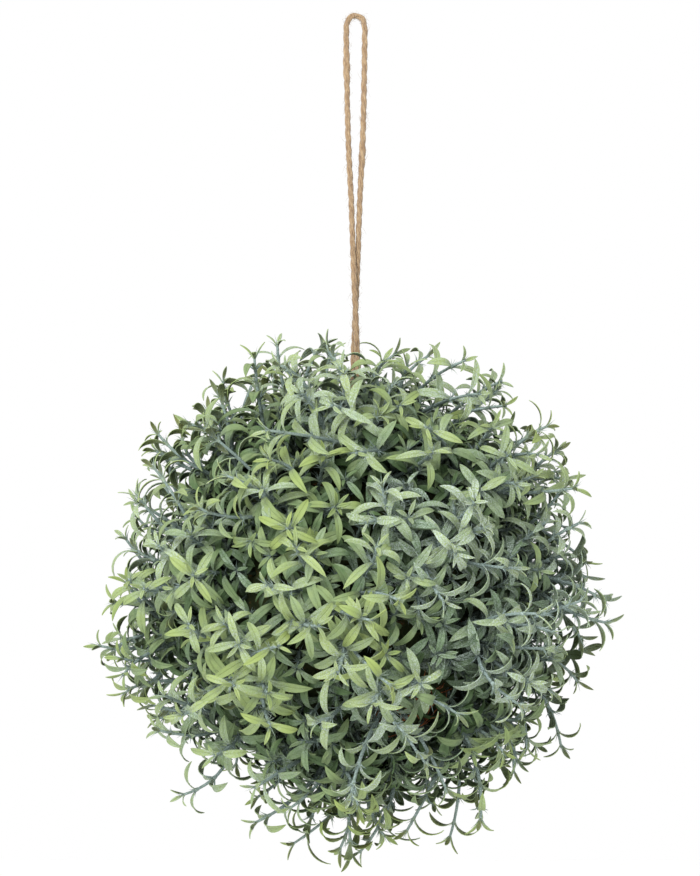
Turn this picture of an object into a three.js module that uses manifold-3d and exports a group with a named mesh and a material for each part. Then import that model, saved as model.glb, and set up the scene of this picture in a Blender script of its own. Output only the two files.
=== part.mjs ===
// Hanging ball of artificial sage on a loop of jute twine.
//
// Millimetres, +Z up, +X to the right, and the front faces -Y. The origin is the point inside the
// top of the loop where a hook bears, and the ball hangs below it. Sprigs of moulded foliage stand
// in plain sockets all round a fibre core. Each sprig is one moulding with the square stems of
// sage: a stalk sends out two pairs of side stems and goes on as a main stem. Narrow leaves grow
// from every stem in pairs, each pair square to the one below, and bend out and back.

import * as THREE from 'three';
import Module from 'manifold-3d';
import { mergeVertices } from 'three/addons/utils/BufferGeometryUtils.js';

const wasm = await Module();
wasm.setup();
const { Manifold, Mesh: SolidMesh } = wasm;

// Driving dimensions
const DROP = 305; // hook point to the middle of the ball
const CORE_RADIUS = 80;
const CORE_DETAIL = 3; // splits of each edge of the icosahedron that the ball is made from
const REACH = 141; // middle of the ball to the furthest stem tips
const REACH_SPREAD = 20; // how much less far some tips reach
const GAP = 0.3; // between pieces that touch, and the least between leaves
const OVERCUT = 1; // how far sockets are cut past the core's surface

// Twine
const TWINE = 3.0; // diameter
const TWINE_SIDES = 8;
const STEPS_PER_SPAN = 2;

// One leg of the loop from the hook down to the core: its distance from the loop's centre line,
// its turn about that line in degrees, and its height. The other leg lies opposite. The legs hang
// side by side, close up, and then wind round each other down to the core.
const LEG = [
  [3.25, 0, 0.15],
  [4.6, 0, -3.1],
  [4.85, 0, -14],
  [4.6, 0, -32],
  [4.2, 0, -52],
  [3.6, 0, -70],
  [2.8, 4, -86],
  [2.1, 12, -102],
  [1.75, 36, -122],
  [1.7, 68, -141],
  [1.7, 95, -158],
  [1.7, 122, -176],
  [1.7, 150, -194],
  [1.7, 175, -211],
  [1.7, 190, CORE_RADIUS - DROP - 2],
];

// Knot that joins the twine's ends, in a pocket in the top of the core
const KNOT_RADIUS = 4.4;
const KNOT_NECK = 3.4;
const KNOT_HEIGHT = 8;
const KNOT_SIDES = 12;
// Rows of [share of the way out from neck to full radius, share of the height]
const KNOT_BULGE = [[0, 0], [0.6, 0.12], [1, 0.35], [1, 0.65], [0.6, 0.88], [0, 1]];

// Sprigs
const SPRIGS = 30;
const STALK_RADIUS = 1.7; // half the diagonal of its square section
const SOCKET_DEPTH = 12;
const FORKS = [5, 11]; // heights above the core at which a stalk sends out two side stems
const JOINT = 2.4; // height of the band that leaves or side stems grow from
const TURN = { mean: 45, spread: 20 }; // degrees from level to a stalk's first side, about its axis
const MAIN_SPREAD = 3; // most degrees from a sprig's axis to the tip of its main stem
const SIDE_LEAN = { mean: 15.5, spread: 2.5 }; // degrees from the axis to a side stem's tip
const SIDE_SWING = 14; // most degrees that a side stem swings sideways
const BOW = 7; // how far a side stem bows out from a straight line
const DRIFT = 0.2; // how far tips drift sideways, as a share of their distance from the middle
const DRIFT_WAVES = [3.2, 2.8, 3.6]; // how fast the drift turns along X, Y and Z
const DRIFT_STARTS = [0.5, 1.2, 1.9]; // where its waves start
const STEM_RADIUS = 1.4; // half the diagonal of its square section
const STEM_TAPER = 0.4; // share of that lost at the tip
const TWIST = 25; // most degrees that a stem is twisted

// Leaves
const LEAF = { width: 6.4, thickness: 1.1, lean: 32, curl: 95 };
const LEAF_BEND = 0.43; // share of its length at which a leaf bends and is widest
const LEAF_SPREAD = 0.08; // most that a leaf's size differs, as a share
const SIDES = [0, 1, 2, 3]; // the sides of a stem
const JOINTS = [
  { share: 0.42, length: 25, sides: [0, 2] },
  { share: 0.64, length: 25, sides: [1, 3] },
  { share: 0.86, length: 22, sides: [0, 2] },
]; // pairs of leaves, each square to the one below
const OUTER_FIRST = [2, 1, 0]; // order in which a stem's joints get their leaves
const ROLLS = [0, 10, -10, 20, -20]; // degrees that a leaf is turned to find room
const CURLS = [1, 1.3, 0.7]; // shares of its curl
const SIZES = [1, 0.8, 0.62]; // shares of its length

const COLOURS = { core: 0x4a2c18, twine: 0xc9a371, leaves: [0x8fa36c, 0x7e9484, 0xa1b377] };
const SEEDS = { stems: 11, leaves: 29 };
const GENERATOR = { multiplier: 1664525, step: 1013904223, range: 2 ** 32 };

const radians = THREE.MathUtils.degToRad;

/** Repeatable random numbers from 0 to 1, by a linear congruential generator. */
function randomFrom(seed) {
  const { multiplier, step, range } = GENERATOR;
  let state = seed;
  return () => {
    state = (multiplier * state + step) % range;
    return state / range;
  };
}

/** A random number from -size to +size. */
function jitter(random, size) {
  return size * (2 * random() - 1);
}

/** A point or direction worked out as a sum of [amount, vector] terms. */
function sum(...terms) {
  return terms.reduce(
    (total, [amount, vector]) => total.addScaledVector(vector, amount),
    new THREE.Vector3()
  );
}

// Skins and solids

/** A closed skin of triangles, grown loop by loop, so that what branches off shares its points. */
class Skin {
  points = [];
  triangles = [];

  /** Adds a loop of [angle in degrees, point] rows, counter-clockwise as seen from ahead. */
  loop(rows) {
    return rows.map(([angle, point]) => ({ angle, index: this.points.push(point) - 1 }));
  }

  /** Fills one side between two loops with as many points. */
  side(back, front, number) {
    const next = (number + 1) % back.length;
    this.triangles.push(back[number].index, back[next].index, front[next].index);
    this.triangles.push(back[number].index, front[next].index, front[number].index);
  }

  /** Fills the band from a loop to one ahead of it, stepping along whichever lags behind. */
  band(back, front) {
    const at = (loop, step) => loop[step % loop.length];
    const angle = (loop, step) => at(loop, step).angle + 360 * Math.floor(step / loop.length);
    let i = 0;
    let j = 0;
    while (i < back.length || j < front.length) {
      const backLags = i < back.length && angle(back, i + 1) <= angle(front, j + 1);
      const stepBack = j === front.length || backLags;
      const from = at(back, i).index;
      const across = at(front, j).index;
      const to = stepBack ? at(back, ++i).index : at(front, ++j).index;
      this.triangles.push(from, to, across);
    }
  }

  /** Closes a loop to a tip ahead of it. */
  tip(loop, point) {
    const end = this.points.push(point) - 1;
    loop.forEach(({ index }, i) => {
      this.triangles.push(index, loop[(i + 1) % loop.length].index, end);
    });
  }

  /** Closes a loop flat, facing back, or ahead if asked. */
  cap(loop, ahead = false) {
    for (let i = 2; i < loop.length; i++) {
      const [a, b] = ahead ? [i - 1, i] : [i, i - 1];
      this.triangles.push(loop[0].index, loop[a].index, loop[b].index);
    }
  }

  geometry() {
    const geometry = new THREE.BufferGeometry().setFromPoints(this.points);
    geometry.setIndex(this.triangles);
    geometry.computeVertexNormals();
    return geometry;
  }
}

/** The closed solid that a geometry bounds. */
function solidOf(geometry) {
  const bare = geometry.clone();
  bare.deleteAttribute('normal');
  bare.deleteAttribute('uv');
  const merged = mergeVertices(bare);
  return new Manifold(
    new SolidMesh({
      numProp: 3,
      vertProperties: new Float32Array(merged.attributes.position.array),
      triVerts: new Uint32Array(merged.index.array),
    })
  );
}

/** The surface of a solid as a geometry. */
function geometryOf(solid) {
  const { vertProperties, triVerts } = solid.getMesh();
  const geometry = new THREE.BufferGeometry();
  geometry.setAttribute('position', new THREE.BufferAttribute(vertProperties, 3));
  geometry.setIndex(new THREE.BufferAttribute(triVerts, 1));
  geometry.computeVertexNormals();
  return geometry;
}

/** A solid with the box that bounds it. */
function bounded(geometry) {
  geometry.computeBoundingBox();
  return { solid: solidOf(geometry), box: geometry.boundingBox };
}

/** True where a solid keeps the gap to all of the others given. */
function isClear(candidate, others) {
  const room = candidate.box.clone().expandByScalar(GAP);
  return others.every(
    (other) => !room.intersectsBox(other.box) || candidate.solid.minGap(other.solid, GAP) >= GAP
  );
}

// Twine loop and its knot

/** A smooth curve that takes the same number of steps between each two of its points. */
class SteppedCurve extends THREE.CatmullRomCurve3 {
  getUtoTmapping(share) {
    return share;
  }
}

/** The centre line of the twine: up one leg, over the hook, and down the other. */
function loopPath() {
  const place = ([spread, turn, height], side) =>
    new THREE.Vector3(
      side * spread * Math.cos(radians(turn)),
      side * spread * Math.sin(radians(turn)),
      height
    );
  const down = LEG.map((row) => place(row, 1));
  const up = LEG.map((row) => place(row, -1)).reverse();
  return new SteppedCurve([...up, new THREE.Vector3(0, 0, TWINE / 2), ...down]);
}

function twineLoop() {
  const path = loopPath();
  const corners = Array.from({ length: TWINE_SIDES }, (_, i) => {
    const angle = ((i + 0.5) * 2 * Math.PI) / TWINE_SIDES;
    return new THREE.Vector2(Math.cos(angle), Math.sin(angle)).multiplyScalar(TWINE / 2);
  });
  const steps = STEPS_PER_SPAN * (path.points.length - 1);
  return new THREE.ExtrudeGeometry(new THREE.Shape(corners), { steps, extrudePath: path });
}

/** Height of the flat top of the knot, just under the twine's ends. */
const knotTop = LEG.at(-1)[2] - GAP;

function knot() {
  const bulge = KNOT_BULGE.map(([out, up]) => [
    KNOT_NECK + out * (KNOT_RADIUS - KNOT_NECK),
    (up - 1) * KNOT_HEIGHT,
  ]);
  const profile = [[0, -KNOT_HEIGHT], ...bulge, [0, 0]].map((row) => new THREE.Vector2(...row));
  const geometry = new THREE.LatheGeometry(profile, KNOT_SIDES);
  return geometry.rotateX(Math.PI / 2).translate(0, 0, knotTop);
}

// Frames: a centre, a direction ahead, and two directions x and y across it

/** The direction across a frame at an angle in degrees from its x. */
function aside({ x, y }, degrees) {
  return sum([Math.cos(radians(degrees)), x], [Math.sin(radians(degrees)), y]);
}

/** The square section of a stem in a frame, as loop rows. */
function square(frame, radius) {
  return [45, 135, 225, 315].map((angle) => [
    angle,
    sum([1, frame.centre], [radius, aside(frame, angle)]),
  ]);
}

/** A stem's frame at a share of its length. */
function frameAt({ line, across, twist }, share) {
  const ahead = line.getTangent(share).normalize();
  const x = across.clone().projectOnPlane(ahead).normalize();
  x.applyAxisAngle(ahead, radians(twist) * share);
  return { centre: line.getPoint(share), ahead, x, y: ahead.clone().cross(x) };
}

/** The square section of a stem at a share of its length, as loop rows. */
function sectionAt(stem, share) {
  return square(frameAt(stem, share), STEM_RADIUS * (1 - STEM_TAPER * share));
}

/** The corners of one side between two square loops, as a loop that faces out of that side. */
function sideLoop(lower, upper, side) {
  const next = (side + 1) % 4;
  const corners = [lower[side], lower[next], upper[next], upper[side]];
  return corners.map(({ index }, i) => ({ index, angle: 45 + 90 * i }));
}

// Planning the sprigs: no two stems cross, and each side stem grows from one side of the stalk

/** Directions spread evenly over a sphere from the top down, each a golden angle on. */
function evenDirections(count) {
  const goldenAngle = Math.PI * (3 - Math.sqrt(5));
  return Array.from({ length: count }, (_, i) => {
    const height = 1 - (2 * i + 1) / count;
    const width = Math.sqrt(1 - height * height);
    const angle = i * goldenAngle;
    return new THREE.Vector3(width * Math.cos(angle), width * Math.sin(angle), height);
  });
}

/** A point moved round the ball by a smooth drift that swirls, so that it bares no side. */
function drifted(point) {
  const ahead = point.clone().normalize();
  const slopes = ahead.toArray().map((v, i) => Math.sin(DRIFT_WAVES[i] * v + DRIFT_STARTS[i]));
  const swirl = new THREE.Vector3(...slopes).cross(ahead);
  return sum([1, ahead], [DRIFT, swirl]).setLength(point.length());
}

/** A stem that sets out towards one point by way of a knee, and drifts as it goes. */
function planStem(root, knee, aim, across, random) {
  const line = new THREE.QuadraticBezierCurve3(root, knee, drifted(aim));
  return { line, across, twist: jitter(random, TWIST), leaves: new Map() };
}

/** A sprig: its axis frame, its main stem, and the side stems by fork and side of the stalk. */
function planSprig(ahead, random) {
  const east = new THREE.Vector3(0, 0, 1).cross(ahead).normalize();
  const x = east.applyAxisAngle(ahead, radians(TURN.mean + jitter(random, TURN.spread)));
  const frame = { centre: new THREE.Vector3(), ahead, x, y: ahead.clone().cross(x) };
  const aimAt = (lean, angle) => {
    const reach = REACH - REACH_SPREAD * random();
    return sum(
      [reach * Math.cos(radians(lean)), ahead],
      [reach * Math.sin(radians(lean)), aside(frame, angle)]
    );
  };
  const top = CORE_RADIUS + FORKS.at(-1) + JOINT;
  const mainAim = aimAt(MAIN_SPREAD * random(), 360 * random());
  const mainKnee = sum([(top + mainAim.length()) / 2, ahead]);
  const main = planStem(sum([top, ahead]), mainKnee, mainAim, x, random);
  const sideStems = SIDES.map((side) => {
    const fork = side % FORKS.length;
    const facing = 90 + 90 * side;
    const outward = aside(frame, facing);
    const root = sum(
      [CORE_RADIUS + FORKS[fork] + JOINT / 2, ahead],
      [STALK_RADIUS * Math.SQRT1_2, outward]
    );
    const lean = SIDE_LEAN.mean + jitter(random, SIDE_LEAN.spread);
    const aim = aimAt(lean, facing + jitter(random, SIDE_SWING));
    const knee = sum([0.5, root], [0.5, aim], [BOW, outward]);
    return { fork, side, stem: planStem(root, knee, aim, aside(frame, 90 * side), random) };
  });
  return { frame, main, sideStems };
}

/** All stems of a sprig. */
function stemsOf({ main, sideStems }) {
  return [main, ...sideStems.map(({ stem }) => stem)];
}

// Growing stalks, stems and leaves on a skin

/**
 * Grows a leaf on a root loop: a blade with a flat face above and a keel below, along an arc that
 * leaves the stem at the lean and turns through the curl.
 */
function growLeaf(skin, root, { start, ahead, outward, across, size }) {
  const { length, width, thickness, lean, curl } = size;
  const first = radians(lean);
  const turn = radians(curl) / length;
  const headingAt = (share) => first + turn * share * length;
  const midline = (share) =>
    sum(
      [1, start],
      [(Math.sin(headingAt(share)) - Math.sin(first)) / turn, ahead],
      [(Math.cos(first) - Math.cos(headingAt(share))) / turn, outward]
    );
  const heading = headingAt(LEAF_BEND);
  const under = sum([Math.cos(heading), outward], [-Math.sin(heading), ahead]);
  const middle = midline(LEAF_BEND);
  const section = skin.loop([
    [90, sum([1, middle], [thickness, under])],
    [200, sum([1, middle], [-width / 2, across])],
    [340, sum([1, middle], [width / 2, across])],
  ]);
  skin.band(root, section);
  skin.tip(section, midline(1));
}

/** Shares of a stem at which the band of a joint starts and ends. */
function jointShares({ line }, share) {
  const half = JOINT / 2 / line.getLength();
  return [share - half, share + half];
}

/** Grows a stem on a root loop, with the leaves that it has so far. */
function growStem(skin, root, stem) {
  let last = root;
  JOINTS.forEach((joint, number) => {
    const [lower, upper] = jointShares(stem, joint.share).map((share) =>
      skin.loop(sectionAt(stem, share))
    );
    skin.band(last, lower);
    for (let side = 0; side < 4; side++) {
      const leaf = stem.leaves.get(`${number} ${side}`);
      if (leaf) growLeaf(skin, sideLoop(lower, upper, side), leaf);
      else skin.side(lower, upper, side);
    }
    last = upper;
  });
  skin.tip(last, stem.line.getPoint(1));
}

/** A straight length of a sprig's stalk, or the socket round it, as a skin of its own. */
function prism({ frame }, radius, from, to) {
  const skin = new Skin();
  const [foot, top] = [from, to].map((distance) =>
    skin.loop(square({ ...frame, centre: sum([distance, frame.ahead]) }, radius))
  );
  skin.cap(foot);
  skin.band(foot, top);
  skin.cap(top, true);
  return skin.geometry();
}

/** A whole sprig: the stalk from its socket up, then its side stems and its main stem. */
function growSprig(sprig) {
  const { frame, main, sideStems } = sprig;
  const skin = new Skin();
  const loopAt = (distance) =>
    skin.loop(square({ ...frame, centre: sum([distance, frame.ahead]) }, STALK_RADIUS));
  let last = loopAt(CORE_RADIUS - SOCKET_DEPTH + GAP);
  skin.cap(last);
  FORKS.forEach((height, fork) => {
    const lower = loopAt(CORE_RADIUS + height);
    const upper = loopAt(CORE_RADIUS + height + JOINT);
    skin.band(last, lower);
    sideStems.forEach(({ fork: own, side, stem }) => {
      if (own === fork) growStem(skin, sideLoop(lower, upper, side), stem);
      else skin.side(lower, upper, side);
    });
    last = upper;
  });
  growStem(skin, last, main);
  return skin.geometry();
}

/** A stem by itself, for keeping the leaves clear of it. */
function stemAlone(stem) {
  const skin = new Skin();
  const root = skin.loop(sectionAt(stem, 0));
  skin.cap(root);
  growStem(skin, root, stem);
  return skin.geometry();
}

// Finding room for the leaves

/** A leaf on one side of a joint, turned about the stem by a roll in degrees. */
function poseLeaf(stem, share, side, roll, size) {
  const frame = frameAt(stem, share);
  const radius = STEM_RADIUS * (1 - STEM_TAPER * share);
  const start = sum([1, frame.centre], [radius * Math.SQRT1_2, aside(frame, 90 + 90 * side)]);
  const outward = aside(frame, 90 + 90 * side + roll);
  return { start, ahead: frame.ahead, outward, across: aside(frame, 90 * side + roll), size };
}

/** A leaf by itself, closed at its root. */
function leafAlone(stem, share, side, leaf) {
  const skin = new Skin();
  const [lower, upper] = jointShares(stem, share).map((place) => sectionAt(stem, place));
  const next = (side + 1) % 4;
  const corners = [lower[side], lower[next], upper[next], upper[side]];
  const root = skin.loop(corners.map(([, point], i) => [45 + 90 * i, point]));
  skin.cap(root);
  growLeaf(skin, root, leaf);
  return bounded(skin.geometry());
}

/** The first way of sizing, curling and turning a leaf in which it clears what is there. */
function fitLeaf(stem, share, side, size, obstacles) {
  for (const shorter of SIZES) {
    for (const tighter of CURLS) {
      for (const roll of ROLLS) {
        const tried = {
          ...size,
          length: size.length * shorter,
          width: size.width * Math.sqrt(shorter),
          curl: size.curl * tighter,
        };
        const leaf = poseLeaf(stem, share, side, roll, tried);
        const alone = leafAlone(stem, share, side, leaf);
        if (isClear(alone, obstacles)) return { leaf, alone };
      }
    }
  }
  return null;
}

/** Grows the leaves on all of the stems, the outermost first. Those of one joint spread apart. */
function growLeaves(sprigs, fixed, random) {
  const stems = sprigs.flatMap(stemsOf);
  const stemSolids = new Map(stems.map((stem) => [stem, bounded(stemAlone(stem))]));
  const obstacles = [...fixed, ...stemSolids.values()];
  for (const number of OUTER_FIRST) {
    const { share, length, sides } = JOINTS[number];
    for (const stem of stems) {
      const others = obstacles.filter((other) => other !== stemSolids.get(stem));
      for (const side of sides) {
        const scale = 1 + jitter(random, LEAF_SPREAD);
        const size = { ...LEAF, length: length * scale, width: LEAF.width * scale };
        const found = fitLeaf(stem, share, side, size, others);
        if (!found) continue;
        stem.leaves.set(`${number} ${side}`, found.leaf);
        obstacles.push(found.alone);
      }
    }
  }
}

// The pieces

/** The core: a ball with a socket for each sprig and a pocket for the knot. */
function core(sprigs) {
  const socketRadius = STALK_RADIUS + GAP * Math.SQRT2;
  const sockets = sprigs.map((sprig) =>
    solidOf(prism(sprig, socketRadius, CORE_RADIUS - SOCKET_DEPTH, CORE_RADIUS + OVERCUT))
  );
  const floor = knotTop - KNOT_HEIGHT - GAP + DROP;
  const depth = CORE_RADIUS + OVERCUT - floor;
  const radius = (KNOT_RADIUS + GAP) / Math.cos(Math.PI / KNOT_SIDES);
  const pocket = new THREE.CylinderGeometry(radius, radius, depth, KNOT_SIDES);
  pocket.rotateX(Math.PI / 2).translate(0, 0, floor + depth / 2);
  const ball = solidOf(new THREE.IcosahedronGeometry(CORE_RADIUS, CORE_DETAIL));
  return geometryOf(ball.subtract(Manifold.union([...sockets, solidOf(pocket)])));
}

function piece(name, geometry, colour, roughness) {
  const material = new THREE.MeshStandardMaterial({ color: colour, roughness, metalness: 0 });
  const mesh = new THREE.Mesh(geometry, material);
  mesh.name = name;
  return mesh;
}

const twine = twineLoop();
const stemRandom = randomFrom(SEEDS.stems);
const sprigs = evenDirections(SPRIGS).map((ahead) => planSprig(ahead, stemRandom));
const stalks = sprigs.map((sprig) =>
  bounded(prism(sprig, STALK_RADIUS, CORE_RADIUS, CORE_RADIUS + FORKS.at(-1) + JOINT))
);
const twineFromBall = bounded(twine.clone().translate(0, 0, DROP));
growLeaves(sprigs, [twineFromBall, ...stalks], randomFrom(SEEDS.leaves));

const ball = new THREE.Group();
ball.position.z = -DROP;
ball.add(piece('core_ball', core(sprigs), COLOURS.core, 0.95));
sprigs.forEach((sprig, number) => {
  const name = `sprig_${String(number + 1).padStart(2, '0')}`;
  const colour = COLOURS.leaves[number % COLOURS.leaves.length];
  ball.add(piece(name, growSprig(sprig), colour, 0.6));
});

const hanging = new THREE.Group();
hanging.add(piece('jute_loop', twine, COLOURS.twine, 0.9));
hanging.add(piece('loop_knot', knot(), COLOURS.twine, 0.9));
hanging.add(ball);

export default hanging;
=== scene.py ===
# %% [markdown]
# # A hanging ball of artificial sage
#
# The object is a made one: sprigs of moulded polyethylene foliage pushed into a ball of matted
# fibre, which hangs from a loop of jute twine. The imported model gives every place and size. This
# lesson dresses it: twine of three plies, leaves with a crease and a dusty finish, and a core of
# coir. The first cell loads the model.

# %% Load the imported model
import math
import bpy
from mathutils import Matrix, Quaternion, Vector


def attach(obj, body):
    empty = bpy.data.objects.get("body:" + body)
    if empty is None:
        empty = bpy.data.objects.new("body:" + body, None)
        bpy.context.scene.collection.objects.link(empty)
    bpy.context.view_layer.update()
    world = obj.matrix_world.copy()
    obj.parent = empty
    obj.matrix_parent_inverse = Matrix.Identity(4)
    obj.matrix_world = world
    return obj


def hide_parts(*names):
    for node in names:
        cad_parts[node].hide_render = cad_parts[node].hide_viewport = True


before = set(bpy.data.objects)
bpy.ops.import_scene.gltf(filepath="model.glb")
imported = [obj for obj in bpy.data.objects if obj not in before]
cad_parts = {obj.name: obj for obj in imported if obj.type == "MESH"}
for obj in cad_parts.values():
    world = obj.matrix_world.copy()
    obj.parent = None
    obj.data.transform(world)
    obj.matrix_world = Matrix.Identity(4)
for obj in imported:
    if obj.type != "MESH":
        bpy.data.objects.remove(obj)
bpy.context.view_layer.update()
MM = 0.001

# %% [markdown]
# ## Camera
#
# The photograph is taken level with the ball, from far enough away that the ball looks nearly
# flat, so the camera stands level and well back behind a long lens. One pixel of the photograph
# is about 0.53 mm at the ball, which gives the height that the frame covers there. The origin
# of the model, inside the top of the loop, lies a little right of the frame's centre line.

# %% Camera
PIXEL = 0.53 * MM
FRAME_HEIGHT = 876 * PIXEL
HOOK_PIXEL = (355.5, 18.5)
FRAME_CENTRE_PIXEL = (350, 438)
DISTANCE = 2.4
SENSOR = 36

aim = Vector((
    (FRAME_CENTRE_PIXEL[0] - HOOK_PIXEL[0]) * PIXEL,
    0,
    (HOOK_PIXEL[1] - FRAME_CENTRE_PIXEL[1]) * PIXEL,
))
bpy.ops.object.camera_add(location=aim + Vector((0, -DISTANCE, 0)), rotation=(math.pi / 2, 0, 0))
camera = bpy.context.object
camera.data.sensor_width = SENSOR
camera.data.lens = SENSOR * DISTANCE / FRAME_HEIGHT
bpy.context.scene.camera = camera
print("lens", round(camera.data.lens), "mm, aimed at", [round(v / MM) for v in aim])

# %% [markdown]
# ## The twine's route
#
# One length of twine goes up from the core, over the hook and down again. Near the hook the two
# legs hang apart, then they close up and wind round each other down to the ball. A leg is a short
# list of points: its distance from the loop's centre line, its turn about that line and its
# height. The other leg lies opposite. A centripetal curve through the points stays smooth where
# short spans meet long ones, which is why it is used and not an even one.

# %% Route of the twine
TWINE = 3.0 * MM
CORE_RADIUS = 80 * MM
DROP = 305 * MM
LEG = [
    (3.25 * MM, 0, 0.15 * MM),
    (4.6 * MM, 0, -3.1 * MM),
    (4.85 * MM, 0, -14 * MM),
    (4.6 * MM, 0, -32 * MM),
    (4.2 * MM, 0, -52 * MM),
    (3.6 * MM, 0, -70 * MM),
    (2.8 * MM, 4, -86 * MM),
    (2.1 * MM, 12, -102 * MM),
    (1.75 * MM, 36, -122 * MM),
    (1.7 * MM, 68, -141 * MM),
    (1.7 * MM, 95, -158 * MM),
    (1.7 * MM, 122, -176 * MM),
    (1.7 * MM, 150, -194 * MM),
    (1.7 * MM, 175, -211 * MM),
    (1.7 * MM, 190, CORE_RADIUS - DROP - 2 * MM),
]
STEPS_PER_SPAN = 16


def leg_point(row, side):
    """The point of one leg, side 1, or of the other, side -1, that a row of the list gives."""
    spread, turn, height = row
    return Vector((
        side * spread * math.cos(math.radians(turn)),
        side * spread * math.sin(math.radians(turn)),
        height,
    ))


def centripetal(points, share):
    """The point at a share of the way from the second to the third of four points."""
    knots = [0]
    for a, b in zip(points, points[1:]):
        knots.append(knots[-1] + math.sqrt((b - a).length))
    at = knots[1] + share * (knots[2] - knots[1])

    def blend(level, reach):
        return [
            a.lerp(b, (at - knots[i]) / (knots[i + reach] - knots[i]))
            for i, (a, b) in enumerate(zip(level, level[1:]))
        ]

    pairs = blend(points, 1)
    triples = blend(pairs, 2)
    return triples[0].lerp(triples[1], share)


def smooth_line(points, steps):
    """Points along a smooth curve through the points given, with so many steps a span."""
    ends = [2 * points[0] - points[1], *points, 2 * points[-1] - points[-2]]
    line = [
        centripetal(ends[i:i + 4], step / steps)
        for i in range(len(points) - 1)
        for step in range(steps)
    ]
    return [*line, points[-1]]


up = [leg_point(row, -1) for row in reversed(LEG)]
down = [leg_point(row, 1) for row in LEG]
twine_line = smooth_line([*up, Vector((0, 0, TWINE / 2)), *down], STEPS_PER_SPAN)
twine_length = sum((b - a).length for a, b in zip(twine_line, twine_line[1:]))
print("twine:", round(twine_length / MM, 1), "mm along", len(twine_line), "points")

# %% [markdown]
# ## Random draws
#
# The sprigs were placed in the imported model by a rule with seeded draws. The same small generator
# is used here, so that every stem comes out where the model has it, and each run is the same.

# %% Random draws


class Draws:
    """Repeatable random numbers from 0 to 1, by a linear congruential generator."""

    def __init__(self, seed):
        self.state = seed

    def one(self):
        self.state = (1664525 * self.state + 1013904223) % 2**32
        return self.state / 2**32

    def jitter(self, size):
        return size * (2 * self.one() - 1)

    def between(self, low, high):
        return low + (high - low) * self.one()


# %% [markdown]
# ## Colours and nodes
#
# Paint and plastic colours are read off as sRGB hex values, and shaders want linear ones. One
# function turns them over, and another adds a shader node with its settings and links, so that a
# material reads as a short list.

# %% Colour and node helpers


def linear(hex_value):
    """The linear colour of an sRGB hex value such as 0x8fa36c, with full opacity."""
    channels = [(hex_value >> shift & 255) / 255 for shift in (16, 8, 0)]
    return (*[c / 12.92 if c <= 0.04045 else ((c + 0.055) / 1.055) ** 2.4 for c in channels], 1)


def add_node(material, kind, inputs=None, **settings):
    """Adds a node to a material. An input is a value, or another node's output to link."""
    tree = material.node_tree
    node = tree.nodes.new(kind)
    for name, value in settings.items():
        setattr(node, name, value)
    for key, value in (inputs or {}).items():
        if isinstance(value, bpy.types.NodeSocket):
            tree.links.new(value, node.inputs[key])
        else:
            node.inputs[key].default_value = value
    return node


def ramp(material, factor, *stops):
    """A colour ramp over (place, hex colour) stops."""
    node = add_node(material, "ShaderNodeValToRGB", {"Fac": factor})
    elements = node.color_ramp.elements
    while len(elements) < len(stops):
        elements.new(0.5)
    for element, (place, colour) in zip(elements, stops):
        element.position = place
        element.color = linear(colour)
    return node.outputs["Color"]


def new_material(name, roughness, ior, gloss=0.5):
    """A new material and its shader. Gloss scales the mirrored light: 0.5 is what the IOR gives."""
    material = bpy.data.materials.new(name)
    material.use_nodes = True
    shader = material.node_tree.nodes["Principled BSDF"]
    shader.inputs["Roughness"].default_value = roughness
    shader.inputs["IOR"].default_value = ior
    shader.inputs["Specular IOR Level"].default_value = gloss
    return material, shader


print("helpers ready")

# %% [markdown]
# ## Jute
#
# Jute is a bast fibre: long tan strands with darker flecks, matt, with a soft sheen along the
# fibres. The flecks are noise drawn out along the twine, which hangs along Z, and fine ridges
# give each ply its fibres. A real fibre is 0.02 mm thick, too fine to show, so the ridges are
# drawn 0.25 mm apart.

# %% Jute material
jute, shader = new_material("jute_bast_fibre_twisted", 0.9, 1.53)
place = add_node(jute, "ShaderNodeTexCoord").outputs["Object"]
drawn_out = add_node(jute, "ShaderNodeMapping", {"Vector": place, "Scale": (1, 1, 0.16)})
flecks = add_node(jute, "ShaderNodeTexNoise", {
    "Vector": drawn_out.outputs["Vector"], "Scale": 1 / (0.8 * MM), "Detail": 5, "Roughness": 0.7,
})
fibre_colour = ramp(
    jute, flecks.outputs["Fac"],
    (0.25, 0x543c24), (0.42, 0x7b6145), (0.56, 0x927a5a), (0.78, 0xb09a7c),
)
fibres = add_node(jute, "ShaderNodeTexNoise", {
    "Vector": drawn_out.outputs["Vector"], "Scale": 1 / (0.25 * MM), "Detail": 3,
})
relief = add_node(jute, "ShaderNodeBump", {
    "Height": fibres.outputs["Fac"], "Distance": 0.25 * MM, "Strength": 0.8,
})
jute.node_tree.links.new(fibre_colour, shader.inputs["Base Color"])
jute.node_tree.links.new(relief.outputs["Normal"], shader.inputs["Normal"])
shader.inputs["Sheen Weight"].default_value = 0.25
shader.inputs["Sheen Roughness"].default_value = 0.6
print(jute.name)

# %% [markdown]
# ## Twine
#
# Three plies are loosely twisted into a twine, so that they run down from left to right on its
# face. Each ply is a curve that circles the route once a lay length, with a round bevel, which is
# quicker and cleaner than twisting a mesh. Plies thicken and thin, as spun jute does, and two
# slubs show in the loop.

# %% Helpers for curves and meshes


def new_curve(name, depth, roundness):
    """An empty curve piece with a round bevel and closed ends."""
    curve = bpy.data.curves.new(name, "CURVE")
    curve.dimensions = "3D"
    curve.bevel_depth = depth
    curve.bevel_resolution = roundness
    curve.use_fill_caps = True
    piece = bpy.data.objects.new(name, curve)
    bpy.context.scene.collection.objects.link(piece)
    return piece


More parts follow.
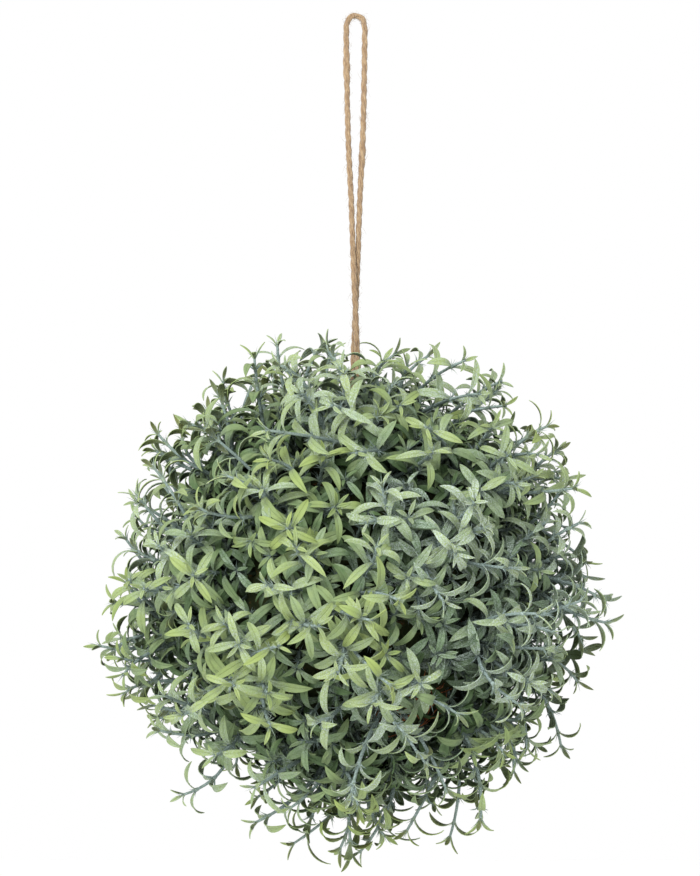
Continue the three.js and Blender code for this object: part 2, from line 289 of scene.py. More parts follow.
def add_strand(piece, points, radii):
    """Adds a line through the points to a curve. Radii are factors of its bevel's depth."""
    spline = piece.data.splines.new("POLY")
    spline.points.add(len(points) - 1)
    for dot, point, radius in zip(spline.points, points, radii):
        dot.co = (*point, 1)
        dot.radius = radius


def select_only(*pieces):
    bpy.ops.object.select_all(action="DESELECT")
    for piece in pieces:
        piece.select_set(True)
    bpy.context.view_layer.objects.active = pieces[0]


def to_mesh(piece):
    """Turns a curve into a closed mesh with its points merged."""
    select_only(piece)
    bpy.ops.object.convert(target="MESH")
    bpy.ops.object.mode_set(mode="EDIT")
    bpy.ops.mesh.select_all(action="SELECT")
    bpy.ops.mesh.remove_doubles(threshold=0.002 * MM)
    bpy.ops.mesh.normals_make_consistent(inside=False)
    bpy.ops.object.mode_set(mode="OBJECT")


def travel(line):
    """For each point of a line: how far along it lies, its direction, and a steady side."""
    side = Vector((0, 1, 0))
    distance = 0
    rows = []
    for i, point in enumerate(line):
        ahead = (line[min(i + 1, len(line) - 1)] - line[max(i - 1, 0)]).normalized()
        side = (side - side.dot(ahead) * ahead).normalized()
        rows.append((distance, point, ahead, side))
        if i + 1 < len(line):
            distance += (line[i + 1] - point).length
    return rows


print("curve helpers ready")

# %% Three plies
PLIES = 3
PLY_RADIUS = 0.9 * MM
PLY_OFFSET = 0.72 * MM
LAY_LENGTH = 19 * MM
SLUBS = [(0.435, 0.35), (0.665, 0.3)]  # share of the twine's length, and how much thicker
SLUB_SPAN = 0.014

twine = new_curve("jute_twine", PLY_RADIUS, 2)
twine_rows = travel(twine_line)
for ply in range(PLIES):
    draws = Draws(50 + ply)
    points = []
    radii = []
    wander = 1
    for distance, point, ahead, side in twine_rows:
        turn = -2 * math.pi * (distance / LAY_LENGTH + ply / PLIES)
        out = Quaternion(ahead, turn) @ side
        wander += 0.25 * (1 + draws.jitter(0.16) - wander)
        share = distance / twine_length
        swell = sum(more * math.exp(-(((share - at) / SLUB_SPAN) ** 2)) for at, more in SLUBS)
        points.append(point + PLY_OFFSET * (1 + 0.4 * swell) * out)
        radii.append(wander * (1 + swell))
    add_strand(twine, points, radii)
to_mesh(twine)
twine.data.materials.append(jute)
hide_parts("jute_loop")
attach(twine, "root")
print("twine faces:", len(twine.data.polygons))

# %% [markdown]
# ## Fuzz on the twine
#
# Spun jute is hairy: fibre ends stand out of it all along. Each is a hair of four points that
# leaves the surface and bends along the twine. They are drawn 0.1 mm thick, coarser than real
# fibres, so that they show at all.

# %% Fuzz
HAIRS = 700
HAIR_RADIUS = 0.05 * MM
HAIR_ROOT = 0.42 * TWINE  # distance from the twine's middle, just under its surface
FREE_ENDS = 8  # points of the route at each end that carry no hairs, in and near the core
fuzz = new_curve("twine_fuzz", HAIR_RADIUS, 0)
draws = Draws(77)
for _ in range(HAIRS):
    row = int(draws.between(FREE_ENDS, len(twine_rows) - FREE_ENDS - 1))
    _, point, ahead, side = twine_rows[row]
    out = Quaternion(ahead, draws.between(0, 2 * math.pi)) @ side
    along = ahead * (1 if draws.one() < 0.5 else -1)
    length = draws.between(0.8, 1.6 + 2 * draws.one() ** 3) * MM
    lean = draws.between(0.5, 2.0)
    sweep = ahead.cross(out) * draws.jitter(0.6)
    root = point + HAIR_ROOT * out
    hair = [
        root + length * (share * out + lean * share * share * along + share * share * sweep)
        for share in (0, 0.35, 0.7, 1)
    ]
    add_strand(fuzz, hair, [1, 0.9, 0.7, 0.4])
to_mesh(fuzz)
fuzz.data.materials.append(jute)
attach(fuzz, "root")

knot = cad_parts["loop_knot"]
knot.data.materials.clear()
knot.data.materials.append(jute)

print("hairs:", HAIRS)

# %% [markdown]
# ## Polyethylene foliage
#
# The leaves are injection moulded in soft polyethylene and dusted, so they are matt, with a faint
# waxy gloss. Fresh ones are yellow-green, old ones deep green, and a pale blue-grey dust lies over
# them, thickest at their roots. Each leaf carries two numbers as attributes of its mesh: tone,
# from 0 for fresh to 1 for old, and dust, from 0 for clean to 1 for covered. Tone also carries
# painted light and shade, and dust painted shade, both set with the sprigs below. Its own UV map
# runs from root to tip, so the colour changes along the leaf in every place and at every angle.

# %% Leaf material
POLYETHYLENE_IOR = 1.51
DUSTY_GLOSS = 0.25  # dust scatters half of what the bare plastic would mirror
FINISHES = ("tone", "dust")


def foliage_material(name, roughness, stops, dust_hex):
    """Moulded foliage: a ramp from fresh to old, under dust that is thickest at the root."""
    material, shader = new_material(name, roughness, POLYETHYLENE_IOR, DUSTY_GLOSS)
    place = add_node(material, "ShaderNodeTexCoord")
    tone, dust = [
        add_node(material, "ShaderNodeAttribute", attribute_name=finish).outputs["Fac"]
        for finish in FINISHES
    ]
    parts = add_node(material, "ShaderNodeSeparateXYZ", {"Vector": place.outputs["UV"]})

    patches = add_node(material, "ShaderNodeTexNoise", {
        "Vector": place.outputs["Object"], "Scale": 1 / (5 * MM), "Detail": 4,
    })
    shift = add_node(material, "ShaderNodeMath", {0: patches.outputs["Fac"], 1: 0.5, 2: -0.25},
                     operation="MULTIPLY_ADD")
    age = add_node(material, "ShaderNodeMath", {0: tone, 1: shift.outputs[0]},
                   operation="ADD", use_clamp=True)
    colour = ramp(material, age.outputs[0], *stops)

    root = add_node(material, "ShaderNodeMapRange", {
        "Value": parts.outputs["Y"], "From Min": 0.0, "From Max": 0.6,
        "To Min": 0.5, "To Max": 0.0,
    }, interpolation_type="SMOOTHSTEP")
    settled = add_node(material, "ShaderNodeMath", {0: dust, 1: root.outputs["Result"]},
                       operation="ADD", use_clamp=True)
    grains = add_node(material, "ShaderNodeTexNoise", {
        "Vector": place.outputs["Object"], "Scale": 1 / (0.75 * MM), "Detail": 3, "Roughness": 0.8,
    })
    speckle = add_node(material, "ShaderNodeMapRange", {
        "Value": grains.outputs["Fac"], "From Min": 0.45, "From Max": 0.6,
        "To Min": 0.12, "To Max": 1.2,
    })
    cover = add_node(material, "ShaderNodeMath", {
        0: settled.outputs[0], 1: speckle.outputs["Result"],
    }, operation="MULTIPLY")
    dusted = add_node(material, "ShaderNodeMix", {
        "Factor": cover.outputs[0], "A": colour, "B": linear(dust_hex),
    }, data_type="RGBA")

    off_middle = add_node(material, "ShaderNodeMath", {0: parts.outputs["X"], 1: 0.5},
                          operation="SUBTRACT")
    off_rib = add_node(material, "ShaderNodeMath", {0: off_middle.outputs[0]},
                       operation="ABSOLUTE")
    rib = add_node(material, "ShaderNodeMapRange", {
        "Value": off_rib.outputs[0], "From Min": 0.02, "From Max": 0.1,
        "To Min": 0.0, "To Max": 1.0,
    })
    height = add_node(material, "ShaderNodeMath", {
        0: grains.outputs["Fac"], 1: 0.6, 2: rib.outputs["Result"],
    }, operation="MULTIPLY_ADD")
    relief = add_node(material, "ShaderNodeBump", {
        "Height": height.outputs[0], "Distance": 0.3 * MM, "Strength": 0.8,
    })
    material.node_tree.links.new(dusted.outputs["Result"], shader.inputs["Base Color"])
    material.node_tree.links.new(relief.outputs["Normal"], shader.inputs["Normal"])
    return material


leaf_face = foliage_material(
    "polyethylene_moulded_leaf", 0.58,
    [(0.0, 0x839353), (0.25, 0x7c8d54), (0.5, 0x708259), (0.75, 0x516843), (1.0, 0x283d1c)],
    0xa2afa9,
)
# the underside is a darker copy of the face's colours: painted shade, for the shadow under the
# leaves
leaf_back = foliage_material(
    "polyethylene_moulded_leaf_underside_painted_shade", 0.66,
    [(0.0, 0x6e7444), (0.25, 0x606a41), (0.5, 0x505c3f), (0.75, 0x3c4b30), (1.0, 0x1f2d16)],
    0x7c8a84,
)
stem_skin = foliage_material(
    "polyethylene_moulded_stem", 0.66,
    [(0.0, 0x7d8b76), (0.5, 0x54635d), (1.0, 0x22301f)],
    0x93a4a2,
)
print(leaf_face.name, leaf_back.name, stem_skin.name)

# %% [markdown]
# ## One leaf
#
# A leaf is narrow and pointed, folded a little along its midrib, and bends out and back. It
# starts as a standing grid two faces wide. The middle row of points is pushed back for the fold,
# each level is scaled to the outline, Solidify gives it a wall, and a Bend modifier curls it. Its
# sixty or so faces are enough, because the ball holds more than seven thousand leaves.

# %% Leaf
LEAF_LENGTH = 26 * MM
LEAF_WIDTH = 4.9 * MM
LEAF_THICKNESS = 0.45 * MM
LEAF_FOLD = 0.11  # depth of the fold as a share of the width
LEAF_LEVELS = [0.24, 0.36, 0.58, 0.82, 0.97, 1.0, 0.93, 0.75, 0.45, 0.03]  # widths, root to tip


def edit_points(piece, wanted):
    """Opens edit mode with only the wanted points selected."""
    bpy.ops.object.mode_set(mode="EDIT")
    bpy.ops.mesh.select_mode(type="VERT")
    bpy.ops.mesh.select_all(action="DESELECT")
    bpy.ops.object.mode_set(mode="OBJECT")
    for vertex in piece.data.vertices:
        vertex.select = wanted(vertex.co)
    bpy.ops.object.mode_set(mode="EDIT")


def apply_modifier(piece, kind, **settings):
    """Adds a modifier with its settings to a piece, and applies it."""
    modifier = piece.modifiers.new(kind.title(), kind)
    for name, value in settings.items():
        setattr(modifier, name, value)
    select_only(piece)
    bpy.ops.object.modifier_apply(modifier=modifier.name)


def model_leaf(length, width, curl):
    """A leaf that stands on the origin along Z and curls towards +Y."""
    rows = len(LEAF_LEVELS) - 1
    bpy.ops.object.select_all(action="DESELECT")
    bpy.ops.mesh.primitive_grid_add(
        x_subdivisions=2, y_subdivisions=rows, size=1, rotation=(math.pi / 2, 0, 0)
    )
    leaf = bpy.context.object
    leaf.scale = (width, length, 1)
    leaf.location = (0, 0, length / 2)
    bpy.ops.object.transform_apply(location=True, rotation=True, scale=True)
    edit_points(leaf, lambda point: abs(point.x) < width / 4)
    bpy.ops.transform.translate(value=(0, LEAF_FOLD * width, 0))
    bpy.ops.object.mode_set(mode="OBJECT")
    for row, share in enumerate(LEAF_LEVELS):
        level = length * row / rows
        edit_points(leaf, lambda point: abs(point.z - level) < length / rows / 4)
        bpy.ops.transform.resize(value=(share, share, 1), center_override=(0, 0, level))
        bpy.ops.object.mode_set(mode="OBJECT")
    for material in (leaf_face, leaf_back, stem_skin):
        leaf.data.materials.append(material)
    apply_modifier(leaf, "SOLIDIFY", thickness=LEAF_THICKNESS, offset=0, material_offset=1)
    apply_modifier(leaf, "SIMPLE_DEFORM", deform_method="BEND", deform_axis="X",
                   angle=math.radians(curl))
    select_only(leaf)
    bpy.ops.object.shade_smooth_by_angle(angle=math.radians(50))
    return leaf


trial = model_leaf(LEAF_LENGTH, LEAF_WIDTH, 90)
tip = max((v.co for v in trial.data.vertices), key=lambda point: point.y)
print("leaf faces:", len(trial.data.polygons), "tip:", [round(v / MM, 1) for v in tip])
bpy.data.objects.remove(trial)

# %% [markdown]
# ## Leafy joints
#
# Sage bears its leaves in pairs, each pair square to the one below, with a few needle bracts
# between the leaves and a slight swelling of the stem. A joint is modelled once in ten slightly
# different ways, and a stem's tip in four. The sprigs are then put together from copies.

# %% Joints and tips
PAIR_KINDS = 10
TIP_KINDS = 4
LEAF_LEAN = 34  # degrees out from the stem
LEAF_CURLS = (90, 160)  # least and most bend, in degrees, root to tip
NEEDLE_WIDTH = 0.9 * MM
NEEDLE_TURNS = (70, 90, 110, 250, 270, 290)  # degrees round the stem, between the two leaves
ROOT_OFFSET = 0.5 * MM
SWELLING_RADIUS = 1.35 * MM
SWELLING_HEIGHT = 3.2 * MM
TIP_LEAF_WIDTH = 2.1 * MM
TIP_LEAF_CURLS = (20, 90)
TIP_NEEDLES = 5
TIP_NEEDLE_WIDTH = 0.7 * MM
TIP_OFFSET = 0.2 * MM


def place_mesh(piece, lean, turn, offset):
    """Leans a standing piece out by so many degrees, and turns it about the stem."""
    piece.data.transform(Matrix.Rotation(-math.radians(lean), 4, "X"))
    piece.data.transform(Matrix.Translation((0, offset, 0)))
    piece.data.transform(Matrix.Rotation(math.radians(turn), 4, "Z"))
    return piece


def model_needle(length, width, curl):
    """A needle bract: a slim four-sided cone that stands on the origin and curls a little."""
    bpy.ops.object.select_all(action="DESELECT")
    bpy.ops.mesh.primitive_cone_add(
        vertices=4, radius1=width / 2, radius2=0, depth=length, location=(0, 0, length / 2)
    )
    needle = bpy.context.object
    bpy.ops.object.transform_apply(location=True, rotation=True, scale=True)
    bpy.ops.object.mode_set(mode="EDIT")
    bpy.ops.mesh.select_all(action="SELECT")
    bpy.ops.mesh.bisect(plane_co=(0, 0, length / 2), plane_no=(0, 0, 1))
    bpy.ops.object.mode_set(mode="OBJECT")
    apply_modifier(needle, "SIMPLE_DEFORM", deform_method="BEND", deform_axis="X",
                   angle=math.radians(curl))
    needle.data.materials.append(stem_skin)
    return needle


def model_swelling(radius, height):
    """The slight swelling of a stem where leaves leave it."""
    bpy.ops.object.select_all(action="DESELECT")
    bpy.ops.mesh.primitive_cone_add(
        vertices=8, radius1=0.8 * radius, radius2=0.7 * radius, depth=height
    )
    swelling = bpy.context.object
    bpy.ops.object.mode_set(mode="EDIT")
    bpy.ops.mesh.select_all(action="SELECT")
    bpy.ops.mesh.bisect(plane_co=(0, 0, 0.1 * height), plane_no=(0, 0, 1))
    bpy.ops.transform.resize(value=(1.3, 1.3, 1), center_override=(0, 0, 0))
    bpy.ops.object.mode_set(mode="OBJECT")
    swelling.data.materials.append(stem_skin)
    return swelling


def add_finishes(mesh):
    """Gives a mesh the attributes that its tone and dust are written to."""
    for finish in FINISHES:
        mesh.attributes.new(finish, "FLOAT", "POINT")


def gather(name, pieces):
    """Joins pieces into one kept off the scene, ready to be copied."""
    select_only(*pieces)
    bpy.ops.object.join()
    whole = bpy.context.object
    mesh = whole.data
    mesh.name = name
    add_finishes(mesh)
    mesh.use_fake_user = True
    bpy.data.objects.remove(whole)
    return mesh


def model_pair(number):
    """A joint: two leaves opposite each other, needles between them and the stem's swelling."""
    draws = Draws(200 + number)
    pieces = []
    for side in (0, 180):
        length = LEAF_LENGTH * draws.between(0.78, 1.08)
        width = LEAF_WIDTH * draws.between(0.85, 1.1)
        leaf = model_leaf(length, width, draws.between(*LEAF_CURLS))
        lean = LEAF_LEAN + draws.jitter(14)
        pieces.append(place_mesh(leaf, lean, side + draws.jitter(14), ROOT_OFFSET))
    for turn in NEEDLE_TURNS:
        needle = model_needle(draws.between(4, 8.5) * MM, NEEDLE_WIDTH, draws.between(0, 50))
        lean = draws.between(22, 50)
        pieces.append(place_mesh(needle, lean, turn + draws.jitter(14), ROOT_OFFSET))
    pieces.append(model_swelling(SWELLING_RADIUS, SWELLING_HEIGHT))
    return gather(f"leaf_pair_{number}", pieces)


def model_tip(number):
    """A stem's tip: three small leaves and a tuft of needles."""
    draws = Draws(300 + number)
    pieces = []
    start = draws.between(0, 90)
    for leaf_number in range(3):
        length = draws.between(7, 12) * MM
        leaf = model_leaf(length, TIP_LEAF_WIDTH, draws.between(*TIP_LEAF_CURLS))
        turn = start + 120 * leaf_number + draws.jitter(20)
        pieces.append(place_mesh(leaf, draws.between(10, 28), turn, TIP_OFFSET))
    for _ in range(TIP_NEEDLES):
        needle = model_needle(draws.between(4, 8) * MM, TIP_NEEDLE_WIDTH, draws.between(0, 40))
        lean = draws.between(5, 35)
        pieces.append(place_mesh(needle, lean, draws.between(0, 360), TIP_OFFSET))
    return gather(f"stem_tip_{number}", pieces)


pairs = [model_pair(number) for number in range(PAIR_KINDS)]
tips = [model_tip(number) for number in range(TIP_KINDS)]
print("faces of a pair:", len(pairs[0].polygons), "of a tip:", len(tips[0].polygons))

# %% [markdown]
# ## Where the stems run
#
# Each sprig stands along its own direction from the middle of the ball. Its stalk sends out two
# pairs of side stems and goes on as a main stem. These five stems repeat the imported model's rule,
# draw for draw. Their tips drift round the ball in smooth swirls, so that they lean every way and
# never cross. Finer shoots, too many for the solids, stand between them in two storeys, a high one
# and a low one that hides the core. Their tips are spread evenly round the ball. The high ones
# stand out in tufts with shallow bays between, all reach further in a crown round the twine, and
# one gap low in the front is left without shoots, so that the core shows there.

# %% Stems
SPRIGS = 30
STALK_RADIUS = 1.7 * MM
STEM_RADIUS = 1.25 * MM
FORKS = (5 * MM, 11 * MM)
JOINT = 2.4 * MM
REACH = 141 * MM
REACH_SPREAD = 20 * MM
MAIN_LEAN = 3  # the most degrees that a main stem's tip leans off its sprig's axis
SIDE_LEAN = 15.5  # degrees that a side stem's tip leans off it, give or take the spread
SIDE_LEAN_SPREAD = 2.5
SIDE_TURN_SPREAD = 14  # degrees round the axis
BOW = 7 * MM  # how far the middle of a side stem is pulled outwards
DRIFT = 0.2
DRIFT_WAVES = (3.2, 2.8, 3.6)
DRIFT_STARTS = (0.5, 1.2, 1.9)
TWIST = 25  # the most degrees that a stem twists from root to tip
STEM_STEP = 0.22  # share of a stem from one pair of leaves to the next
SHOOT_STEP = 9 * MM
SHOOT_SWING = 0.06  # how far a shoot's tip strays from its even place
SHOOT_BOW = 0.2  # share of its length
SHOOT_TWIST = 60
STOREYS = [
    # shoots, least and most reach, how far they stand out in tufts, and how far their feet
    # gather round the sprigs' stalks
    (250, 92 * MM, 129 * MM, 13 * MM, 0.5),
    (390, 90 * MM, 100 * MM, 0, 0.15),
]
TUFT_WAVES = 7  # radians of the tufts' wave across a radius of the ball
CROWN = 16 * MM  # how much further the shoots at the top of the ball reach
GAP_SIDE = Vector((0.33, -0.65, -0.68)).normalized()  # where the core shows between the shoots
GAP_COSINE = math.cos(math.radians(15))
CENTRE = Vector((0, 0, -DROP))


def aside(axes, degrees):
    """A direction square to a stem, so many degrees round it from its first axis."""
    x, y, _ = axes
    return math.cos(math.radians(degrees)) * x + math.sin(math.radians(degrees)) * y


def even_directions(count):
    """Directions spread evenly over a sphere, from the top down, each a golden angle on."""
    golden = math.pi * (3 - math.sqrt(5))
    for i in range(count):
        height = 1 - (2 * i + 1) / count
        width = math.sqrt(1 - height * height)
        yield Vector((width * math.cos(i * golden), width * math.sin(i * golden), height))


def drifted(point):
    """A point moved round the ball by the swirling drift."""
    ahead = point.normalized()
    slopes = Vector([math.sin(w * v + s) for w, v, s in zip(DRIFT_WAVES, ahead, DRIFT_STARTS)])
    return (ahead + DRIFT * slopes.cross(ahead)).normalized() * point.length


def tuft(ahead):
    """How shoots stand out in a direction, from -1 in a bay, as at the gap, to 1 in a tuft."""
    return -sum(math.cos(TUFT_WAVES * (v - g)) for v, g in zip(ahead, GAP_SIDE)) / 3


def aim_at(axes, lean, turn, reach):
    """A point at a reach from the middle of the ball, leaning off a sprig's axis."""
    lean = math.radians(lean)
    return reach * (math.cos(lean) * axes[2] + math.sin(lean) * aside(axes, turn))


def plan_sprig(ahead, draws):
    """The axes of a sprig and its stems, each as (root, knee, tip, across, twist, step)."""
    east = Vector((0, 0, 1)).cross(ahead).normalized()
    x = Quaternion(ahead, math.radians(45 + draws.jitter(20))) @ east
    axes = (x, ahead.cross(x), ahead)
    lean = MAIN_LEAN * draws.one()
    turn = 360 * draws.one()
    aim = aim_at(axes, lean, turn, REACH - REACH_SPREAD * draws.one())
    top = CORE_RADIUS + FORKS[1] + JOINT
    stems = [(top * ahead, (top + aim.length) / 2 * ahead, drifted(aim), x,
              draws.jitter(TWIST), STEM_STEP)]
    for side in range(4):
        facing = 90 + 90 * side
        out = aside(axes, facing)
        fork = CORE_RADIUS + FORKS[side % 2] + JOINT / 2
        root = fork * ahead + STALK_RADIUS / math.sqrt(2) * out
        lean = SIDE_LEAN + draws.jitter(SIDE_LEAN_SPREAD)
        turn = facing + draws.jitter(SIDE_TURN_SPREAD)
        aim = aim_at(axes, lean, turn, REACH - REACH_SPREAD * draws.one())
        stems.append((root, (root + aim) / 2 + BOW * out, drifted(aim),
                      aside(axes, 90 * side), draws.jitter(TWIST), STEM_STEP))
    return axes, stems


def add_shoot(plans, tip_way, reach, gathered, draws):
    """Adds a shoot to the sprig that stands nearest to the shoot's tip."""
    axes, stems = max(plans, key=lambda plan: plan[0][2].dot(tip_way))
    swing = Vector([draws.jitter(1) for _ in range(3)])
    tip = reach * (tip_way + SHOOT_SWING * swing).normalized()
    root = (CORE_RADIUS - 2 * MM) * tip_way.lerp(axes[2], gathered).normalized()
    length = (tip - root).length
    knee = (root + tip) / 2 + SHOOT_BOW * length * (tip_way + swing)
    across = swing.cross(tip).normalized()
    stems.append((root, knee, tip, across, draws.jitter(SHOOT_TWIST), SHOOT_STEP / length))


def on_stem(stem, share):
    """The point of a stem at a share of its length, and its axes there."""
    root, knee, tip, across, twist, _ = stem
    point = root.lerp(knee, share).lerp(knee.lerp(tip, share), share)
    ahead = (knee - root).lerp(tip - knee, share).normalized()
    x = (across - across.dot(ahead) * ahead).normalized()
    x = Quaternion(ahead, math.radians(twist) * share) @ x
    return point, (x, ahead.cross(x), ahead)


stem_draws = Draws(11)
plans = [plan_sprig(ahead, stem_draws) for ahead in even_directions(SPRIGS)]
shoot_draws = Draws(12)
for count, least, most, tufted, gathered in STOREYS:
    for tip_way in even_directions(count):
        reach = shoot_draws.between(least, most) + tufted * tuft(tip_way)
        reach += CROWN * max(0, tip_way.z) ** 3
        if tip_way.dot(GAP_SIDE) < GAP_COSINE:
            add_shoot(plans, tip_way, reach, gathered, shoot_draws)
print("stems:", sum(len(stems) for _, stems in plans))

# %% [markdown]
# ## The sprigs
#
# A sprig is one moulding, so its stems, joints and tips are joined in one piece. The stems are
# bevelled curves that taper. Each joint is a copy of a modelled one with a mesh of its own, moved,
# turned and scaled to its place on the stem. Its tone and dust are set there. They differ from
# sprig to sprig, from stem to stem and from joint to joint, and one side of the ball is dustier.
# The side towards the lamp is painted lighter and yellower, as painted light, and deep in the ball
# leaves and stems are painted darker and greener, with less dust, as painted shade.

# %% Sprigs
TOP_PAIR = 0.86  # share of the stem
TIP_PLACE = 0.97  # share of the stem
TIP_FRESHER = 0.05
STEM_SPANS = 12
STEM_TAPER = 0.45  # share of its thickness that a stem loses towards its tip
STEM_TONE = 0.4
STEM_DUST = 0.5
PAIR_SIZES = [0.83, 0.94, 1.0]  # from the top of a stem down, against the modelled one
DUSTY_SIDE = Vector((0.62, -0.78, 0.02)).normalized()
# the side of the ball towards the lamp, where the leaves are painted lighter and yellower: painted
# light
LAMP_SIDE = Vector((-0.42, -0.9, 0.14)).normalized()
DEEP = 44 * MM  # height over the core below which leaves and stems get painted shade: older tone, less dust
# painted shade deep in the ball: the tone is pushed towards old, dark green, and dust is taken off
DEEP_SHADE_TONE = 0.8
DEEP_SHADE_DUST_LOSS = 0.5
# how much tone and dust differ: from sprig to sprig, over the ball, from stem to stem and from
# joint to joint
SPRIG_TONES = (0.0, 0.6)
SPRIG_DUSTS = (0.12, 0.5)
LIGHTER_AT_LAMP = 0.2  # tone taken off at the side towards the lamp: painted light, lighter and yellower leaves there
DUSTIER_THERE = 0.6  # dust added at the dusty side
STEM_TONE_SPREAD = 0.15
STEM_DUST_SPREAD = 0.28
JOINT_TONE_SPREAD = 0.15
JOINT_DUST_SPREAD = 0.2


def depth_of(place):
    """How deep a place lies in the foliage: 0 at its face, 1 at the core."""
    return min(1, max(0, (CORE_RADIUS + DEEP - place.length) / DEEP))


def set_finish(mesh, tone, dust, depths):
    """Writes the tone and dust of a piece to its points, with painted shade: darker tone and less
    dust the deeper it lies.
    """
    for finish, value, change in zip(FINISHES, (tone, dust), (DEEP_SHADE_TONE, -DEEP_SHADE_DUST_LOSS)):
        values = [min(1, max(0, value + change * depth)) for depth in depths]
        mesh.attributes[finish].data.foreach_set("value", values)


def copy_to(mesh, matrix, tone, dust):
    """A copy of a modelled joint with its own mesh, moved to its place."""
    own = mesh.copy()
    own.transform(matrix)
    depth = depth_of(matrix.translation - CENTRE)
    set_finish(own, tone, dust, [depth] * len(own.vertices))
    piece = bpy.data.objects.new("copy", own)
    bpy.context.scene.collection.objects.link(piece)
    return piece


def standing(point, axes, turn, size):
    """The matrix that stands a joint on a stem."""
    x = aside(axes, turn)
    y = aside(axes, turn + 90)
    matrix = Matrix((x, y, axes[2])).transposed().to_4x4()
    return Matrix.Translation(CENTRE + point) @ matrix @ Matrix.Scale(size, 4)


def towards(ahead, side):
    """1 where a direction points to a side of the ball, falling off quickly round it."""
    return max(0, ahead.dot(side)) ** 4


def stem_mesh(name, axes, stems):
    """The stalk and stems of a sprig as one closed mesh."""
    wood = new_curve(name, 1, 1)
    stalk = [CORE_RADIUS - 11 * MM, CORE_RADIUS + FORKS[0], CORE_RADIUS + FORKS[1] + JOINT]
    add_strand(wood, [CENTRE + far * axes[2] for far in stalk], [STALK_RADIUS * 0.9] * 3)
    shares = [i / STEM_SPANS for i in range(STEM_SPANS + 1)]
    radii = [STEM_RADIUS * (1 - STEM_TAPER * share) for share in shares]
    for stem in stems:
        add_strand(wood, [CENTRE + on_stem(stem, share)[0] for share in shares], radii)
    to_mesh(wood)
    wood.data.materials.append(stem_skin)
    add_finishes(wood.data)
    # painted shade: the stems darken towards the core, as the leaves do
    depths = [depth_of(v.co - CENTRE) for v in wood.data.vertices]
    set_finish(wood.data, STEM_TONE, STEM_DUST, depths)
    select_only(wood)
    bpy.ops.object.shade_smooth()
    return wood


def make_sprig(number, axes, stems):
    """One sprig with its stems, joints and tips joined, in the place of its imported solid."""
    draws = Draws(400 + number)
    sprig_tone = draws.between(*SPRIG_TONES) - LIGHTER_AT_LAMP * towards(axes[2], LAMP_SIDE)
    sprig_dust = draws.between(*SPRIG_DUSTS) + DUSTIER_THERE * towards(axes[2], DUSTY_SIDE)
    name = f"sage_sprig_{number:02d}"
    pieces = [stem_mesh(name, axes, stems)]
    for stem in stems:
        stem_tone = sprig_tone + draws.jitter(STEM_TONE_SPREAD)
        stem_dust = sprig_dust + draws.jitter(STEM_DUST_SPREAD)
        for count in range(int(TOP_PAIR / stem[-1]) + 1):
            point, here = on_stem(stem, TOP_PAIR - count * stem[-1])
            kind = pairs[int(draws.between(0, PAIR_KINDS))]
            size = draws.between(0.92, 1.06) * PAIR_SIZES[min(count, len(PAIR_SIZES) - 1)]
            matrix = standing(point, here, 90 * (count % 2) + draws.jitter(16), size)
            tone = stem_tone + draws.jitter(JOINT_TONE_SPREAD)
            dust = stem_dust + draws.jitter(JOINT_DUST_SPREAD)
            pieces.append(copy_to(kind, matrix, tone, dust))
        point, here = on_stem(stem, TIP_PLACE)
        kind = tips[int(draws.between(0, TIP_KINDS))]
        matrix = standing(point, here, draws.between(0, 360), draws.between(0.9, 1.1))
        pieces.append(copy_to(kind, matrix, stem_tone - TIP_FRESHER, stem_dust))
    select_only(*pieces)
    bpy.ops.object.join()
    sprig = bpy.context.object
    sprig.data.name = name
    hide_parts(f"sprig_{number:02d}")
    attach(sprig, "root")
    return sprig


sprigs = [make_sprig(i + 1, axes, stems) for i, (axes, stems) in enumerate(plans)]
leaves = sum(2 * (int(TOP_PAIR / stem[-1]) + 1) + 3 for _, stems in plans for stem in stems)
print("sprigs:", len(sprigs), "leaves:", leaves,
      "faces:", sum(len(piece.data.polygons) for piece in sprigs))

# %% [markdown]
# ## Core
#
# The core is a ball of matted coir. Between the leaves it is painted a dark green-brown, a painted
# shade for the shadow of the leaves over rust-brown fibre, and round the gap its fibre has come
# loose and is rust-brown. A ball is roughened by a Displace modifier, and the loose fibres are
# thin curves that arch over it.

# %% Coir material
COIR_GLOSS = 0.15  # rough hairy fibre mirrors very little


def coir_material(name, *stops):
    """Matted or loose coir: a ramp of fibre colours over fine noise, with hardly any gloss."""
    material, shader = new_material(name, 0.95, 1.5, COIR_GLOSS)
    place = add_node(material, "ShaderNodeTexCoord").outputs["Object"]
    noise = add_node(material, "ShaderNodeTexNoise", {
        "Vector": place, "Scale": 1 / (4 * MM), "Detail": 6, "Roughness": 0.7,
    }).outputs["Fac"]
    relief = add_node(material, "ShaderNodeBump", {
        "Height": noise, "Distance": 1.5 * MM, "Strength": 0.9,
    })
    material.node_tree.links.new(ramp(material, noise, *stops), shader.inputs["Base Color"])
    material.node_tree.links.new(relief.outputs["Normal"], shader.inputs["Normal"])
    return material


# the two dark green-brown stops are painted shade from the leaves above; the rust-brown stop is the
# fibre's own colour
coir = coir_material("coir_matted_fibre_in_painted_shade", (0.35, 0x17220f), (0.6, 0x282d15), (0.75, 0x6e4023))
loose_coir = coir_material("coir_loose_fibre", (0.3, 0x532f1b), (0.65, 0x8c5a38))
print(coir.name, loose_coir.name)

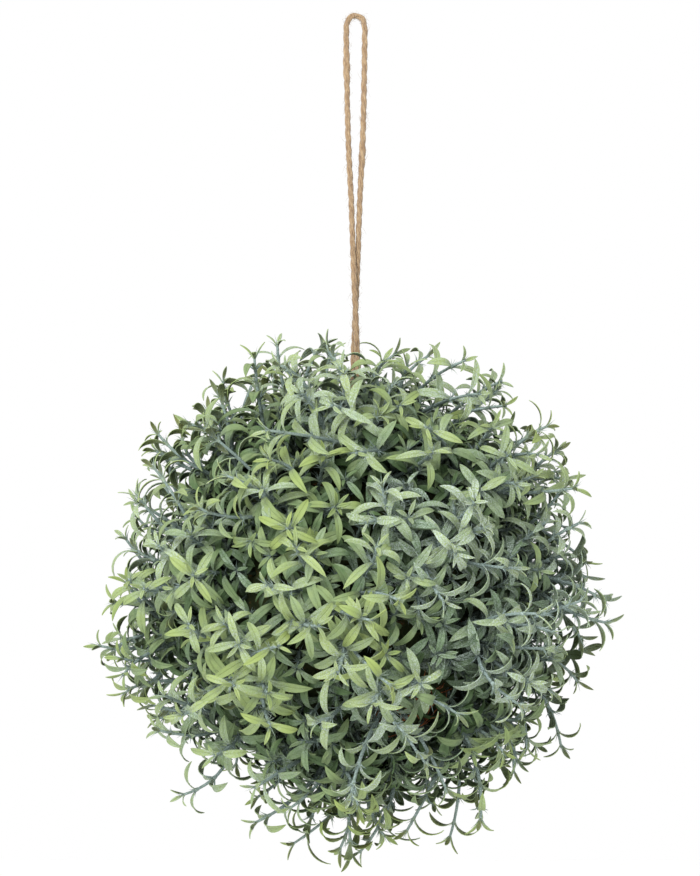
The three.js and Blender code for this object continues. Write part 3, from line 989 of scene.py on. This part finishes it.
# %% Core ball
bpy.ops.object.select_all(action="DESELECT")
bpy.ops.mesh.primitive_ico_sphere_add(subdivisions=5, radius=CORE_RADIUS - 1 * MM)
core = bpy.context.object
core.name = "coir_core"
lumps = bpy.data.textures.new("coir_lumps", "CLOUDS")
lumps.noise_scale = 7 * MM
apply_modifier(core, "DISPLACE", texture=lumps, strength=3 * MM, mid_level=0.5)
core.data.transform(Matrix.Translation(CENTRE))
core.data.materials.append(coir)
select_only(core)
bpy.ops.object.shade_smooth()
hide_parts("core_ball")
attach(core, "root")
print("core faces:", len(core.data.polygons))

# %% Loose fibres
LOOSE_COSINE = math.cos(math.radians(17))  # the fibre has come loose this far round the gap
STRAND_RADIUS = 0.32 * MM  # coarser than real coir, so that it shows
STRAND_PLACES = 2400  # all round the core, of which only those near the gap are used

strands = new_curve("coir_strands", STRAND_RADIUS, 0)
draws = Draws(91)
for ahead in even_directions(STRAND_PLACES):
    if ahead.dot(GAP_SIDE) < LOOSE_COSINE:
        continue
    side = Quaternion(ahead, draws.between(0, 2 * math.pi)) @ ahead.orthogonal().normalized()
    length = draws.between(8, 24) * MM
    lift = draws.between(0.5, 6) * MM
    sway = ahead.cross(side) * draws.jitter(0.4)
    points = [
        CENTRE + (CORE_RADIUS + lift * 4 * share * (1 - share)) * ahead
        + length * ((share - 0.5) * side + share * share * sway)
        for share in (0, 0.25, 0.5, 0.75, 1)
    ]
    add_strand(strands, points, [1, 1, 0.9, 0.8, 0.5])
to_mesh(strands)
strands.data.materials.append(loose_coir)
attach(strands, "root")
print("loose fibre faces:", len(strands.data.polygons))

# %% [markdown]
# ## Floor and light
#
# The photograph is a studio shot on white: light comes from all round, with more from in front,
# above and the left. A white world gives the even light and the white ground, and one large soft
# lamp shapes the ball. The pale floor lies well below, so that no shadow touches the ball.

# %% Floor
FLOOR_SIZE = 6
FLOOR_PLACE = (0, -0.7, -0.66)
floor_finish, shader = new_material("matt_white_studio_paper", 0.9, 1.5)
place = add_node(floor_finish, "ShaderNodeTexCoord").outputs["Object"]
tooth = add_node(floor_finish, "ShaderNodeTexNoise", {"Vector": place, "Scale": 1 / (2 * MM)})
paper = ramp(floor_finish, tooth.outputs["Fac"], (0.0, 0xf4f4f3), (1.0, 0xfbfbfa))
floor_finish.node_tree.links.new(paper, shader.inputs["Base Color"])
bpy.ops.object.select_all(action="DESELECT")
bpy.ops.mesh.primitive_plane_add(size=FLOOR_SIZE, location=FLOOR_PLACE)
floor = bpy.context.object
floor.name = "studio_floor"
floor.data.materials.append(floor_finish)
print("floor at", floor.location.z)

# %% Light
LAMP_PLACE = Vector((-0.6, -1.7, 0.7))
LAMP_SIZE = 0.9
LAMP_WATTS = 47

scene = bpy.context.scene
scene.view_settings.view_transform = "Standard"
world = bpy.data.worlds.new("white_studio")
scene.world = world
world.use_nodes = True
sky = world.node_tree.nodes["Background"]
sky.inputs["Color"].default_value = (1, 1, 1, 1)
sky.inputs["Strength"].default_value = 1.0

bpy.ops.object.light_add(type="AREA", location=LAMP_PLACE)
lamp = bpy.context.object
lamp.name = "key_lamp"
lamp.data.size = LAMP_SIZE
lamp.data.energy = LAMP_WATTS
lamp.rotation_euler = (CENTRE - LAMP_PLACE).to_track_quat("-Z", "Y").to_euler()
print(lamp.name, "of", LAMP_WATTS, "W")
